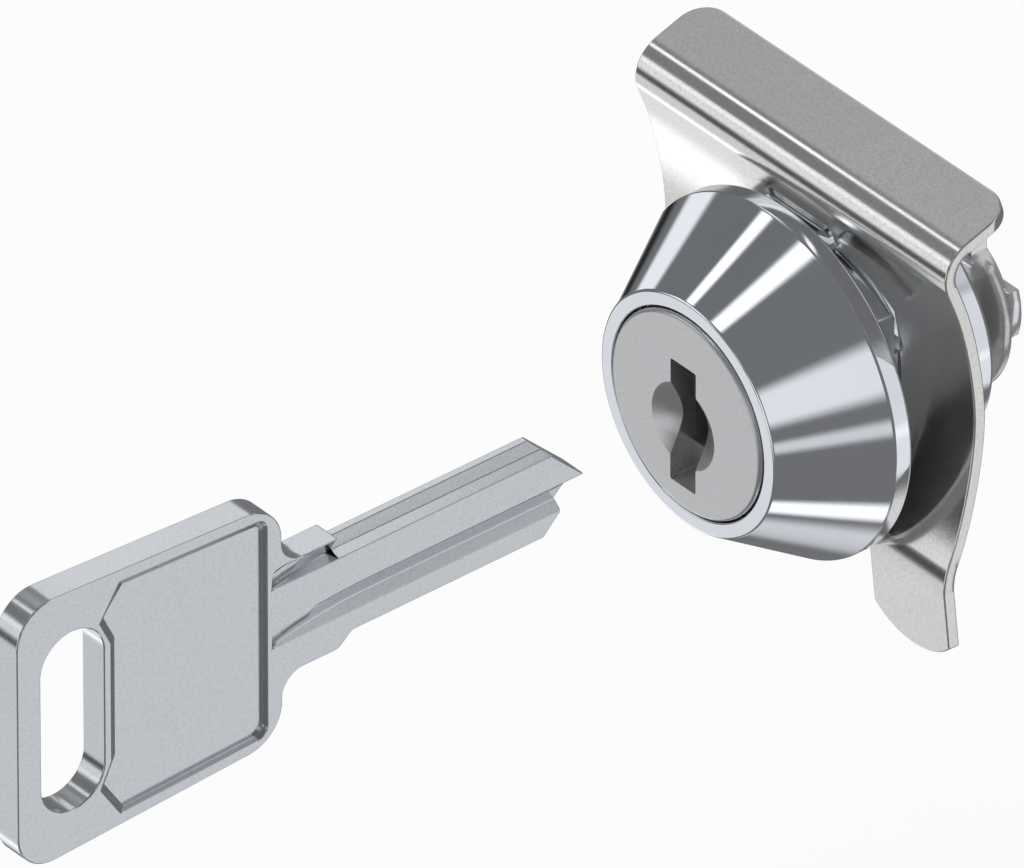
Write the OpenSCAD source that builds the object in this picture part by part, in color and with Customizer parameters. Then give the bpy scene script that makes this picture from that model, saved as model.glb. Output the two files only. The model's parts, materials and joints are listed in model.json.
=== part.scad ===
// Quarter-turn cylinder lock with a push-on spring clip and a flat key.
// Millimetres. +Z is up, +Y points through the panel, away from the key side.
// The origin is the centre of the cut-out, in the plane where the head meets the panel.

/* [Head] */
// Diameter of the head rim that covers the cut-out
head_d = 28; // [26.5:0.1:31]
// Thickness of the cylindrical rim
rim_w = 1.55; // [1:0.05:2.5]
// Length of the cone from the rim to the nose
cone_len = 7.35; // [6:0.05:10]
// Diameter of the nose ring round the plug
nose_d = 18.8; // [18.2:0.1:20.5]
// Radius that breaks the edges of the head
edge_r = 0.3; // [0.1:0.05:0.5]

/* [Collar and barrel] */
// Diameter of the collar that fills the cut-out
collar_d = 23.6; // [22.5:0.1:25]
// Depth of the collar behind the rim
collar_len = 2.8; // [2:0.1:3.2]
// Distance across the two flats that the clip straddles
flats_w = 17.4; // [16.6:0.1:18.6]
// Width of the lug that stops the lock from turning in its cut-out
lug_w = 5.9; // [4:0.1:7]
// Height of the lug above the axis
lug_top = 12.95; // [12.8:0.05:13.1]
// Chamfer that leads the lug and collar in
lead_in = 1.1; // [0.5:0.1:1.3]
// Diameter of the barrel behind the clip
barrel_d = 19.6; // [19:0.1:22]
// Distance from the panel plane to the rear end of the barrel
barrel_end = 11.2; // [10.9:0.1:14]

/* [Plug] */
// Diameter of the plug
plug_d = 13.2; // [13:0.1:14]
// Diameter of the plug's front flange
face_d = 16.2; // [15.6:0.1:16.6]
// Thickness of the plug's front flange
face_t = 1.5; // [1:0.1:2]
// How far the plug stands out of the head
proud = 0.2; // [0:0.05:0.4]
// Diameter of the countersink that guides the key in
dimple_d = 6.8; // [5:0.1:8]
// Point angle of the countersink
dimple_angle = 120; // [90:1:130]
// Height of the keyway's mouth
mouth_h = 10.3; // [9.5:0.1:10.5]
// Height of the mouth's middle above the axis
mouth_z = -1.05; // [-1.2:0.05:-0.9]

/* [Key] */
// Thickness of the key
key_t = 2.4; // [2:0.1:2.6]
// Offset of the key and its keyway from the middle of the plug
key_x = -0.25; // [-0.5:0.05:0.3]
// Length of the blade from its tip to the neck
blade_len = 22.35; // [20:0.1:26]
// Height of the blade above the axis
blade_up = 3.65; // [3.3:0.05:3.9]
// Height of the blade below the axis
blade_down = 3.78; // [3.4:0.02:3.9]
// Length of the neck between blade and bow
neck_len = 5.14; // [4:0.1:7]
// Height of the neck above the axis
neck_up = 4.62; // [4.2:0.05:5.2]
// Height of the neck below the axis
neck_down = 4.83; // [4.2:0.05:5.4]
// Length of the bow
bow_len = 23.95; // [20:0.1:30]
// Height of the bow at its outer end
bow_h = 22.6; // [20:0.1:26]
// Taper of each long side of the bow, in degrees
bow_taper = 2.94; // [0:0.1:4]
// Radius of the bow's corners
bow_r = 3.2; // [2:0.1:4]
// Width of the slot for a key ring
ring_slot_w = 5.7; // [4.5:0.1:6]
// Height of the slot for a key ring
ring_slot_h = 15.1; // [10:0.1:17]
// Depth of the recessed panel on each side of the bow
panel_depth = 0.4; // [0.2:0.05:0.6]
// Distance from the key's tip to the plug while the key is out
key_gap = 10.15; // [4:0.05:30]
// How far the tip goes in behind the plane of the panel
key_reach = 9.1; // [8:0.1:9.2]

/* [Wafers] */
// Distance from one wafer to the next
wafer_pitch = 2.1; // [1.9:0.05:2.2]
// Thickness of a wafer
wafer_t = 1; // [0.8:0.05:1]
// Width of a wafer
wafer_w = 6; // [5.4:0.1:6.2]
// How far a wafer springs out of the plug
wafer_lift = 0.6; // [0.4:0.05:0.6]
// Wire diameter of a wafer spring
spring_wire = 0.18; // [0.12:0.02:0.22]

/* [Drive] */
// Diameter of the round tail that carries the stop washer and the driver
tail_d = 5.8; // [5.4:0.1:6]
// Distance across the flats of the tail
tail_flats = 4.8; // [4.4:0.1:5]
// Thickness of the stop washer
stop_t = 1; // [0.8:0.05:1]
// Angle that the plug turns through
turn_angle = 90; // [60:5:90]
// Diameter of the driver's front flange
flange_d = 11.2; // [10.6:0.1:11.4]
// Length of the driver's front flange
flange_len = 1.8; // [1.4:0.05:2]
// Distance across the flats of the driver's square neck
square_w = 7.2; // [7:0.05:7.4]
// Diameter of the driver's disc behind the neck
disc_d = 10.4; // [10:0.1:10.8]
// Thickness of the driver's disc
disc_t = 1.55; // [1.2:0.05:2]
// Height of the driver's lug above the axis
lug_reach = 8.5; // [7:0.1:9]
// Width of the driver's lug
driver_w = 5.4; // [4:0.1:7]
// Width of the drive tongue at the rear end
tongue_w = 3.9; // [3:0.1:4.5]
// Diameter across the round ends of the drive tongue
tongue_d = 11.4; // [10:0.1:12]
// Length of the drive tongue
tongue_len = 0.7; // [0.5:0.05:4]
// Thickness of the cam
cam_t = 1; // [0.8:0.05:1.2]
// Width of the cam
cam_w = 10; // [9.6:0.1:10.4]
// Distance from the axis to the cam's tip
cam_reach = 25; // [20:0.5:40]
// Diameter of the lock washer
washer_d = 14.6; // [13.6:0.1:15]
// Thickness of the lock washer
washer_t = 0.8; // [0.6:0.05:1]
// Diameter of the screw that holds the driver
screw_d = 3; // [2.5:0.1:3.2]
// Diameter of the screw's countersunk head
screw_head_d = 6.2; // [5.5:0.1:6.6]

/* [Fixing clip] */
// Thickness of the clip's sheet
sheet = 1; // [0.8:0.05:1]
// Width of the clip
clip_w = 33.7; // [30:0.1:38]
// Length of the tab's flat part
tab_len = 4.6; // [3:0.1:8]
// Radius of the tab's outer corners
tab_corner = 2.3; // [1:0.1:3.5]
// Angle of the tab to the axis
tab_tilt = 18.2; // [15:0.1:25]
// Distance from the panel plane to the hollow of the clip's bow
bow_y = 3.25; // [3:0.05:3.6]
// Height of the hollow of the bow above the axis
bow_z = 2.8; // [2.5:0.1:3.5]
// Radius of the bow
bow_radius = 28.3; // [26:0.1:32]
// Clearance between the clip and the flats
clip_gap = 0.05; // [0.03:0.01:0.2]
// Radius of the arched end of each leg
foot_r = 5.8; // [5:0.1:8]
// Depth of the lowest point of the legs below the axis
foot_z = -17.3; // [-18:0.1:-16.4]

/* [Fits] */
// Radial clearance of running and sliding fits
fit = 0.05; // [0.02:0.01:0.08]
// Clearance between the key's profile and its keyway
key_fit = 0.16; // [0.1:0.01:0.2]
// Width of the visible ring gap round the plug's flange
face_gap = 0.15; // [0.1:0.01:0.25]

/* [Hidden] */
$fn = 96;
eps = 0.01;
hair = 0.004;
far = 60;

head_r = head_d / 2;
head_len = rim_w + cone_len;
nose_y = -head_len;
face_y = nose_y - proud;
bore_r = plug_d / 2 + fit;
flange_end = nose_y + face_t;

// The stop washer lies in a recess in the rear end of the barrel
stop_recess = stop_t + 2 * fit;
stop_floor = barrel_end - stop_recess;
stop_r = barrel_d / 2 - 1.3;
stop_tab_r = barrel_d / 2 - 0.2;
stop_tab_half = 15;
stop_slack = 1;

// The driver sits on the tail behind the stop washer; cam and lock washer sit on its neck
driver_y = stop_floor + fit + stop_t + fit;
cam_y = driver_y + flange_len + fit;
washer_y = cam_y + cam_t + fit;
disc_y = washer_y + washer_t + fit;
disc_end = disc_y + disc_t;
tongue_end = disc_end + tongue_len;
screw_head_y = tongue_end - (screw_head_d - screw_d) / 2;
screw_floor = 0.5;
pocket_end = screw_head_y - screw_floor;
tail_slack = 0.1;
tail_end = pocket_end - tail_slack;
screw_tip = stop_floor + 0.3;
screw_wall = 0.7;
screw_sink = 0.02;
screw_boss_r = screw_head_d / 2 + screw_wall;
square_corner_r = square_w / 2 + 1;
washer_end_r = 1.1;
keyway_end = key_reach + 0.4;

// Wafers: the first sits behind the seal, and they alternate up and down
wafer_n = 6;
wafer_y0 = flange_end + 3.1;
slot_half = wafer_w / 2 + fit;
pocket_x = wafer_w / 2 + 0.85;
pocket_r = 0.75;
ear_w = 1.5;
ear_half = 0.5;
pocket_floor = -3.8;
channel_half = slot_half + 0.1;
channel_r = plug_d / 2 + wafer_lift + 0.2;
function wafer_y(i) = wafer_y0 + wafer_pitch * (i - 1);
function wafer_turn(i) = i % 2 == 1 ? 0 : 180;

// Seal groove between the plug's flange and the first wafer
seal_wire = 0.96;
seal_y = flange_end + 1.2;
seal_squeeze = 0.02;
seal_groove_r = plug_d / 2 - seal_wire + seal_squeeze / 2;
seal_groove_half = 0.55;

// Outline of the blade seen from its tip, and of the wards that match it
web_w = 0.7;
ledge_z = blade_up - 0.8;
groove_top = 0.05;
groove_apex_x = 0.33;
groove_apex_z = -1.55;
groove_low = -2.15;
neck_y = face_y - key_gap - blade_len;
tip_y = neck_y + blade_len;
bow_y1 = neck_y - neck_len;
bow_y0 = bow_y1 - bow_len;
groove_start = bow_y1 - 1.2;
mill_x = key_t / 2 + 9;
run_out = 3.4;
mouth_w = key_t + 0.35;
mouth_depth = 2.2;

// The clip is one strip that is bent both ways from its hollow: [straight, radius, angle]
lean_up = 21.6;
lean_down = 21.8;
foot_tilt = 5.7;
foot_len = 9;
clip_up = [[0, bow_radius, -lean_up], [1.72, 2.77, 90 + lean_up - tab_tilt], [tab_len, 0, 0]];
clip_down = [[0, bow_radius, -lean_down], [1, 4.98, lean_down + foot_tilt], [foot_len, 0, 0]];
shoulder_y = bow_y + sheet + fit;

module cyl_y(r, y0, y1) {
    translate([0, y0, 0]) rotate([-90, 0, 0]) cylinder(h = y1 - y0, r = r);
}

module revolve_y(points) {
    rotate([-90, 0, 0]) rotate_extrude() polygon(points);
}

// A flat outline in X and Z, drawn through from y0 to y1
module through_y(y0, y1) {
    translate([0, y1, 0]) rotate([90, 0, 0]) linear_extrude(y1 - y0) children();
}

// A flat outline in Y and Z, drawn through from x0 to x1
module through_x(x0, x1) {
    translate([x0, 0, 0]) rotate([90, 0, 90]) linear_extrude(x1 - x0) children();
}

module box(x0, x1, y0, y1, z0, z1) {
    translate([x0, y0, z0]) cube([x1 - x0, y1 - y0, z1 - z0]);
}

function unit(v) = v / norm(v);
function half_angle(a, b, c) = acos(unit(a - b) * unit(c - b)) / 2;
function round_centre(a, b, c, r) =
    b + unit(unit(a - b) + unit(c - b)) * r / sin(half_angle(a, b, c));
function round_feet(a, b, c, r) =
    let (t = r / tan(half_angle(a, b, c))) [b + unit(a - b) * t, b + unit(c - b) * t];

// A convex outline with rounded corners: each disc stands a hair over its two sides,
// which crosses them cleanly, and the sharp outline then trims it
module rounded(points, r) {
    n = len(points);
    corners = [for (i = [0 : n - 1]) [points[(i + n - 1) % n], points[i], points[(i + 1) % n]]];
    intersection() {
        polygon(points);
        union() {
            polygon([for (c = corners)
                let (m = round_centre(c[0], c[1], c[2], r - hair))
                for (f = round_feet(c[0], c[1], c[2], r - hair)) m + (f - m) * (1 + hair / r / 2)]);
            for (c = corners) translate(round_centre(c[0], c[1], c[2], r - hair)) circle(r);
        }
    }
}

// A sector of a disc in X and Z, from one angle to another, counted from +X towards +Z
module sector(r, a0, a1) {
    polygon(concat([[0, 0]], [for (a = [a0 : (a1 - a0) / 8 : a1 + eps]) r * [cos(a), sin(a)]]));
}

module head() {
    c = edge_r * 0.6;
    revolve_y([[0, nose_y], [nose_d / 2 - c, nose_y], [nose_d / 2, nose_y + c],
        [head_r - c / 2, -rim_w - c / 2], [head_r, -rim_w + c], [head_r, -edge_r],
        [head_r - edge_r, 0], [0, 0]]);
}

module collar() {
    r = collar_d / 2;
    intersection() {
        union() {
            revolve_y([[0, -eps], [r - 0.6, -eps], [r - 0.6, 0.4], [r, 1.3], [r, collar_len - 0.35],
                [r - 0.35, collar_len], [0, collar_len]]);
            lug();
        }
        box(-flats_w / 2, flats_w / 2, -1, collar_len + 1, -far, far);
    }
}

module lug() {
    through_x(-lug_w / 2, lug_w / 2) polygon([[-eps, 0], [-eps, lug_top],
        [collar_len - lead_in, lug_top], [collar_len, lug_top - lead_in], [collar_len, 0]]);
}

module barrel() {
    r = barrel_d / 2;
    intersection() {
        cyl_y(r, collar_len - 1, shoulder_y + eps);
        box(-flats_w / 2, flats_w / 2, 0, far, -far, far);
    }
    revolve_y([[0, shoulder_y], [r - 0.25, shoulder_y], [r, shoulder_y + 0.25],
        [r, barrel_end - 0.45], [r - 0.15, barrel_end - 0.15], [r - 0.45, barrel_end],
        [0, barrel_end]]);
}

module wafer_channels() {
    for (a = [0, 90]) rotate([0, a, 0])
        box(-channel_half, channel_half, wafer_y0 - wafer_t / 2 - 0.3, barrel_end + 1,
            -channel_r, channel_r);
}

// The stop tab turns in this gap, from the left side up to the top
module stop_gap() {
    through_y(stop_floor, barrel_end + 1)
        sector(barrel_d, 180 - turn_angle - stop_tab_half - stop_slack,
            180 + stop_tab_half + stop_slack);
}

module housing() {
    color("gainsboro") difference() {
        union() {
            head();
            collar();
            barrel();
        }
        cyl_y(bore_r, -far, far);
        cyl_y(face_d / 2 + face_gap, -far, flange_end);
        cyl_y(stop_r + fit, stop_floor, far);
        wafer_channels();
        stop_gap();
    }
}

// Blade outline in X and Z, grown by g; a ward of the plug is the groove shrunk by g
function blade_outline(g) = let (h = key_t / 2) [
    [-h - g, blade_up + g], [-h + web_w + g, blade_up + g], [g, ledge_z + 0.1 + g],
    [h + g, ledge_z + g], [h + g, groove_top - g], [groove_apex_x + 1.5 * g, groove_apex_z],
    [h + g, groove_low + g], [h + g, -blade_down - g], [-h - g, -blade_down - g]];

module keyway() {
    translate([key_x, 0, 0]) {
        through_y(face_y - 1, keyway_end) polygon(blade_outline(key_fit));
        box(-mouth_w / 2, mouth_w / 2, face_y - 1, face_y + mouth_depth,
            mouth_z - mouth_h / 2, mouth_z + mouth_h / 2);
        dimple_depth = dimple_d / 2 / tan(dimple_angle / 2);
        translate([0, face_y, mouth_z]) rotate([-90, 0, 0])
            cylinder(h = dimple_depth, r1 = dimple_d / 2, r2 = 0);
    }
}

module wafer_seats() {
    for (i = [1 : wafer_n]) translate([0, wafer_y(i), 0]) rotate([0, wafer_turn(i), 0]) {
        box(-slot_half, slot_half, -wafer_t / 2 - fit, wafer_t / 2 + fit, -far, far);
        translate([pocket_x, 0, pocket_floor]) cylinder(h = far, r = pocket_r, $fn = 32);
        box(slot_half - eps, pocket_x + pocket_r, -wafer_t / 2 - fit, wafer_t / 2 + fit,
            -ear_half - 0.2, far);
    }
}

module tail_outline(grow) {
    intersection() {
        circle(tail_d / 2 + grow);
        square([tail_flats + 2 * grow, far], center = true);
    }
}

module plug() {
    color("silver") difference() {
        union() {
            revolve_y([[0, face_y], [face_d / 2 - edge_r, face_y],
                [face_d / 2, face_y + edge_r], [face_d / 2, flange_end - fit],
                [plug_d / 2, flange_end - fit], [plug_d / 2, stop_floor], [0, stop_floor]]);
            through_y(stop_floor - eps, tail_end) tail_outline(0);
        }
        keyway();
        wafer_seats();
        revolve_y([[seal_groove_r, seal_y - seal_groove_half], [far, seal_y - seal_groove_half],
            [far, seal_y + seal_groove_half], [seal_groove_r, seal_y + seal_groove_half]]);
        cyl_y(screw_d / 2 + fit / 2, screw_tip - 0.2, far);
    }
}

module plug_seal() {
    color("dimgray") translate([0, seal_y, 0]) rotate([-90, 0, 0]) rotate_extrude()
        translate([plug_d / 2 - seal_wire / 2 + seal_squeeze, 0]) circle(seal_wire / 2, $fn = 32);
}

// A wafer that moves up; every second one is the same piece turned over
module wafer(i) {
    window_half = key_t / 2 + key_fit;
    color("khaki") translate([0, wafer_y(i), 0]) rotate([0, wafer_turn(i), 0]) {
        key_side = wafer_turn(i) == 0 ? key_x : -key_x;
        difference() {
            intersection() {
                union() {
                    box(-wafer_w / 2, wafer_w / 2, -wafer_t / 2, wafer_t / 2, -far, far);
                    box(0, wafer_w / 2 + ear_w, -wafer_t / 2, wafer_t / 2, -ear_half, ear_half);
                }
                cyl_y(plug_d / 2 - fit, -wafer_t, wafer_t);
            }
            box(key_side - window_half, key_side + window_half, -wafer_t, wafer_t,
                -blade_down - wafer_lift - key_fit, blade_down + wafer_lift + key_fit);
        }
    }
}

// Points of a coil round Z: a ring of the wire's section at each step of the helix
function coil_ring(turn, r, wire, z) = [for (k = [0 : 5])
    let (rad = r + wire / 2 * cos(60 * k))
    [rad * cos(turn), rad * sin(turn), z + wire / 2 * sin(60 * k)]];

module coil(r, wire, z0, z1, turns) {
    steps = turns * 10;
    points = [for (s = [0 : steps]) each coil_ring(36 * s, r, wire, z0 + (z1 - z0) * s / steps)];
    sides = [for (s = [0 : steps - 1], k = [0 : 5])
        let (a = 6 * s + k, b = 6 * s + (k + 1) % 6) each [[a, b, b + 6], [a, b + 6, a + 6]]];
    last = 6 * steps;
    polyhedron(points, concat(sides, [[5, 4, 3, 2, 1, 0]], [[for (k = [0 : 5]) last + k]]));
}

module wafer_spring(i) {
    color("lightgray") translate([0, wafer_y(i), 0]) rotate([0, wafer_turn(i), 0])
        translate([pocket_x, 0, 0])
            coil(0.48, spring_wire, pocket_floor + spring_wire, -ear_half - spring_wire, 5);
}

module stop_washer() {
    y0 = stop_floor + fit;
    color("darkgray") difference() {
        union() {
            cyl_y(stop_r, y0, y0 + stop_t);
            intersection() {
                cyl_y(stop_tab_r, y0, y0 + stop_t);
                through_y(y0, y0 + stop_t)
                    sector(barrel_d, 180 - stop_tab_half, 180 + stop_tab_half);
            }
        }
        through_y(y0 - 1, y0 + stop_t + 1) tail_outline(fit);
    }
}

// The neck's section: a square with rounded corners
module square_neck() {
    intersection() {
        circle(square_corner_r);
        square(square_w, center = true);
    }
}

// The tongue that turns a latch bar; its round middle takes the screw's head
module drive_tongue() {
    through_y(disc_end - eps, tongue_end) intersection() {
        circle(tongue_d / 2);
        square([far, tongue_w], center = true);
    }
    cyl_y(screw_boss_r, disc_end - eps, tongue_end);
}

module screw_recess() {
    cyl_y(screw_d / 2 + fit, driver_y, far);
    revolve_y([[0, screw_head_y - eps], [screw_d / 2 + fit, screw_head_y],
        [screw_head_d / 2 + fit, tongue_end], [screw_head_d / 2 + fit, far], [0, far]]);
}

module driver() {
    color("whitesmoke") difference() {
        union() {
            cyl_y(flange_d / 2, driver_y, driver_y + flange_len);
            through_y(driver_y + flange_len - eps, disc_y + eps) square_neck();
            cyl_y(disc_d / 2, disc_y, disc_end);
            box(-driver_w / 2, driver_w / 2, disc_y, disc_end, 0, lug_reach);
            drive_tongue();
        }
        through_y(driver_y - 1, pocket_end) tail_outline(fit);
        screw_recess();
    }
}

// A fork that is pushed onto the neck from the left; its tongue points away from the open end
module cam() {
    half = cam_w / 2;
    slot = square_w / 2 + fit;
    arm_end = 2;
    tip_r = 2.5;
    color("darkgray") through_y(cam_y, cam_y + cam_t) difference() {
        rounded([[-cam_reach, -half], [arm_end + tip_r, -half], [arm_end + tip_r, half],
            [-cam_reach, half]], tip_r);
        translate([-slot, -slot]) square([far, 2 * slot]);
        translate([arm_end, -far]) square([far, 2 * far]);
    }
}

// Open at the top: its slot takes the neck from below, and each arm ends in a round
module lock_washer() {
    r = washer_d / 2;
    slot = square_w / 2 + fit;
    end_r = washer_end_r - hair;
    middle = [slot + end_r, sqrt(pow(r - end_r, 2) - pow(slot + end_r, 2))];
    outer = middle + unit(middle) * (end_r + hair / 2);
    inner = middle - [end_r + hair / 2, 0];
    beyond = outer + far * unit(outer - inner);
    color("gray") through_y(washer_y, washer_y + washer_t) intersection() {
        difference() {
            circle(r);
            translate([-slot, -slot]) square([2 * slot, far]);
        }
        union() {
            polygon([inner, beyond, [far, -far], [-far, -far], [-beyond[0], beyond[1]],
                [-inner[0], inner[1]]]);
            for (s = [0, 1]) mirror([s, 0]) translate(middle) circle(washer_end_r);
        }
    }
}

module cam_screw() {
    slot_w = 0.8;
    slot_depth = 0.7;
    tip = 0.4;
    face = tongue_end - screw_sink;
    color("whitesmoke") difference() {
        revolve_y([[0, screw_tip], [screw_d / 2 - tip, screw_tip], [screw_d / 2, screw_tip + tip],
            [screw_d / 2, screw_head_y], [screw_head_d / 2 - screw_sink, face], [0, face]]);
        box(-far, far, face - slot_depth, far, -slot_w / 2, slot_w / 2);
    }
}

function dir(a) = [cos(a), sin(a)];
function side(b, i) = b[i][2] < 0 ? -1 : 1;
function heading(b, i) = i == 0 ? -90 : heading(b, i - 1) + b[i - 1][2];
function bend_centre(b, i) = station(b, i) + b[i][0] * dir(heading(b, i))
    + side(b, i) * b[i][1] * dir(heading(b, i) + 90);
function station(b, i) = i == 0 ? [0, 0] :
    bend_centre(b, i - 1) - side(b, i - 1) * b[i - 1][1] * dir(heading(b, i) + 90);

// Each bend has as many steps as keep its chords within a hair of the arc
function bend_steps(b, i) = b[i][1] == 0 ? 0 :
    ceil(abs(b[i][2]) / (2 * acos(1 - hair / b[i][1])));
function bend_turn(b, i, k) = b[i][1] == 0 ? 0 : b[i][2] * k / bend_steps(b, i);

// One arm of the strip in Y and Z, from the hollow down, at a depth in the sheet
function arm(b, depth, first) = [for (i = [0 : len(b) - 1],
    k = [i == 0 ? first : 0 : bend_steps(b, i)])
    bend_centre(b, i) + (depth - side(b, i) * b[i][1]) * dir(heading(b, i) + bend_turn(b, i, k) + 90)];
function upside(v) = [for (p = v) [p[0], -p[1]]];
function backwards(v) = [for (i = [len(v) - 1 : -1 : 0]) v[i]];

module clip_section() {
    translate([bow_y, bow_z]) polygon(concat(
        arm(clip_down, 0, 0), backwards(arm(clip_down, sheet, 0)),
        upside(arm(clip_up, sheet, 1)), upside(backwards(arm(clip_up, 0, 1)))));
}

// What the front view leaves of the strip: a fork with arched feet
module clip_front() {
    half = clip_w / 2;
    inner = flats_w / 2 + clip_gap;
    difference() {
        translate([-half, -far]) square([clip_w, 2 * far]);
        translate([-inner, -far]) square([2 * inner, far]);
        intersection() {
            circle(collar_d / 2 + 0.3);
            translate([-inner, -far]) square([2 * inner, 2 * far]);
        }
        notch = lug_w / 2 + 0.3;
        translate([-notch, 0]) square([2 * notch, lug_top + 0.3]);
        for (s = [0, 1]) mirror([s, 0]) clip_foot_cut(inner, half);
    }
}

// Each leg ends in an arc across its whole width
module clip_foot_cut(inner, half) {
    w = half - inner;
    side_z = foot_z + foot_r - sqrt(foot_r * foot_r - w * w / 4);
    difference() {
        translate([inner - 1, -far]) square([w + 2, far + side_z]);
        translate([inner + w / 2, foot_z + foot_r]) circle(foot_r);
    }
}

// The tab's outer corners are cut square to its sheet
module clip_tab_corners() {
    half = clip_w / 2;
    r = tab_corner;
    edge = station(clip_up, 2) + tab_len * dir(heading(clip_up, 2));
    for (s = [0, 1]) mirror([s, 0, 0])
        translate([0, bow_y + edge[0], bow_z - edge[1]]) rotate([tab_tilt, 0, 0]) difference() {
            box(half - r, half + 1, -r, 1, -2, 1);
            translate([half - r + hair, hair - r, -3]) cylinder(h = 5, r = r);
        }
}

module fixing_clip() {
    color("lightgray") difference() {
        intersection() {
            through_x(-clip_w / 2, clip_w / 2) clip_section();
            through_y(-far, far) clip_front();
        }
        clip_tab_corners();
    }
}

// Side view of the key in Y and Z
module bow_outline() {
    h0 = bow_h / 2;
    h1 = h0 - bow_len * tan(bow_taper);
    rounded([[bow_y0, -h0], [bow_y1, -h1], [bow_y1, h1], [bow_y0, h0]], bow_r);
}

// Hollow corners where the neck leaves the bow
module neck_fillets() {
    r = 1.9;
    difference() {
        translate([bow_y1 - 1, neck_up - 1]) square([r + 1, r + 1]);
        translate([bow_y1 + r, neck_up + r]) circle(r);
    }
    difference() {
        translate([bow_y1 - 1, -neck_down - r]) square([r + 1, r + 1]);
        translate([bow_y1 + r, -neck_down - r]) circle(r);
    }
}

// Neck and blade; the tip has a ramp on top, a nose that reaches furthest, and a ramp below
module blade_side() {
    polygon([[bow_y1 - 1.5 * bow_r, neck_up], [neck_y, neck_up], [neck_y, blade_up],
        [tip_y - blade_up, blade_up], [tip_y, 0.15], [tip_y - 0.1, groove_top],
        [tip_y - 1.85, groove_top], [tip_y - 2, groove_low],
        [tip_y - 2 - blade_down - groove_low, -blade_down], [neck_y + 1.2, -blade_down],
        [neck_y, -neck_down], [bow_y1 - 1.5 * bow_r, -neck_down]]);
}

module ring_slot() {
    mid = bow_y0 + 5;
    run = ring_slot_h - ring_slot_w;
    translate([mid - ring_slot_w / 2, -run / 2]) square([ring_slot_w, run]);
    for (s = [-1, 1]) translate([mid, s * run / 2]) circle(ring_slot_w / 2);
}

module bow_panel() {
    slope = tan(bow_taper);
    top = bow_h / 2 - 0.9;
    x0 = bow_y0 + 7.5;
    x1 = bow_y1 - 2.1;
    z0 = top - 9.3 * slope;
    z1 = top - (x1 - bow_y0) * slope;
    intersection() {
        rounded([[x0, -z0], [x1, -z1], [x1, z1], [x0, z0]], 0.9);
        polygon([[x0 + 1.8, z0], [x0, 7.1], [x0 + 1, 5], [x0 + 1, -5], [x0, -7.1],
            [x0 + 1.8, -z0], [x1, -z1 - 1], [x1, z1 + 1]]);
    }
}

// A groove milled by a disc: its outline runs to the tip and ends in the disc's curve
module milled(points) {
    through_y(groove_start + run_out, tip_y + 1) polygon(points);
    intersection() {
        translate([mill_x, groove_start + run_out, 0]) rotate_extrude()
            polygon([for (p = points) [mill_x - p[0], p[1]]]);
        box(-far, far, groove_start, groove_start + run_out + eps, -far, far);
    }
}

module key_grooves() {
    out = key_t / 2 + 1;
    milled([[out, groove_top], [key_t / 2, groove_top], [groove_apex_x, groove_apex_z],
        [key_t / 2, groove_low], [out, groove_low]]);
    milled([[out, ledge_z], [key_t / 2, ledge_z], [0, ledge_z + 0.1],
        [-key_t / 2 + web_w, blade_up], [out, blade_up]]);
}

module key() {
    color("lightsteelblue") translate([key_x, 0, 0]) difference() {
        union() {
            through_x(-key_t / 2, key_t / 2) bow_outline();
            through_x(-key_t / 2, key_t / 2) blade_side();
            through_x(-key_t / 2, key_t / 2) neck_fillets();
        }
        through_x(-key_t, key_t) ring_slot();
        for (s = [0, 1]) mirror([s, 0, 0])
            through_x(key_t / 2 - panel_depth, key_t) bow_panel();
        key_grooves();
    }
}

housing();
plug();
plug_seal();
wafer(1);  // wafer_1
wafer(2);  // wafer_2
wafer(3);  // wafer_3
wafer(4);  // wafer_4
wafer(5);  // wafer_5
wafer(6);  // wafer_6
wafer_spring(1);  // wafer_spring_1
wafer_spring(2);  // wafer_spring_2
wafer_spring(3);  // wafer_spring_3
wafer_spring(4);  // wafer_spring_4
wafer_spring(5);  // wafer_spring_5
wafer_spring(6);  // wafer_spring_6
stop_washer();
driver();
cam();
lock_washer();
cam_screw();
fixing_clip();
key();
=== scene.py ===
# %% [markdown]
# # A quarter-turn cylinder lock with its spring clip and key
# A lock like this holds a flap or a drawer: the key turns the plug by a quarter turn, and
# the cam behind it swings out of its catch. The CAD model is the frame, and the places
# and sizes below are the same as there. Blender adds what a lathe, a press and a plating
# bath leave on the real parts: rounded edges, bent sheet, milled grooves, and metals that
# differ in colour and polish. Sizes are in millimetres while a piece is modelled, and in
# metres once it is an object.

# %% The frame
import json
from math import asin, atan2, ceil, cos, degrees, pi, radians, sin, sqrt, tan

import bmesh
import bpy
from mathutils import Matrix, Vector


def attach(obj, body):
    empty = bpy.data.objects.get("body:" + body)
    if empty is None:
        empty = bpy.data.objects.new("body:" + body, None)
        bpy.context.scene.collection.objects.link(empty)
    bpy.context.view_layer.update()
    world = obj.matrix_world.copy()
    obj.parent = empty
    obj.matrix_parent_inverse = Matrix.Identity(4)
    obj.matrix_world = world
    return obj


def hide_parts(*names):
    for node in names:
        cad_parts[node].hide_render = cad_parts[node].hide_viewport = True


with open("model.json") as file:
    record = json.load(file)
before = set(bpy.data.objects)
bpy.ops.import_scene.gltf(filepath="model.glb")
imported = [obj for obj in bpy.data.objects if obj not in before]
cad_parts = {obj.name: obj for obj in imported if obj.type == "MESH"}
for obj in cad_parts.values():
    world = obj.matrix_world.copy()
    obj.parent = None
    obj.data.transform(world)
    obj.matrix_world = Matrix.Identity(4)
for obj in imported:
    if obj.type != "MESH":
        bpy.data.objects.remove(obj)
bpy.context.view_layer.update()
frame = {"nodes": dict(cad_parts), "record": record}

MM = 0.001

# %% [markdown]
# ## Camera
# The photograph looks down at the lock from its front right and shows almost no
# perspective. An orthographic camera could take that picture. A very long lens from far
# away gives the same one, and it stays a real camera for the views from other sides.

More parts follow.
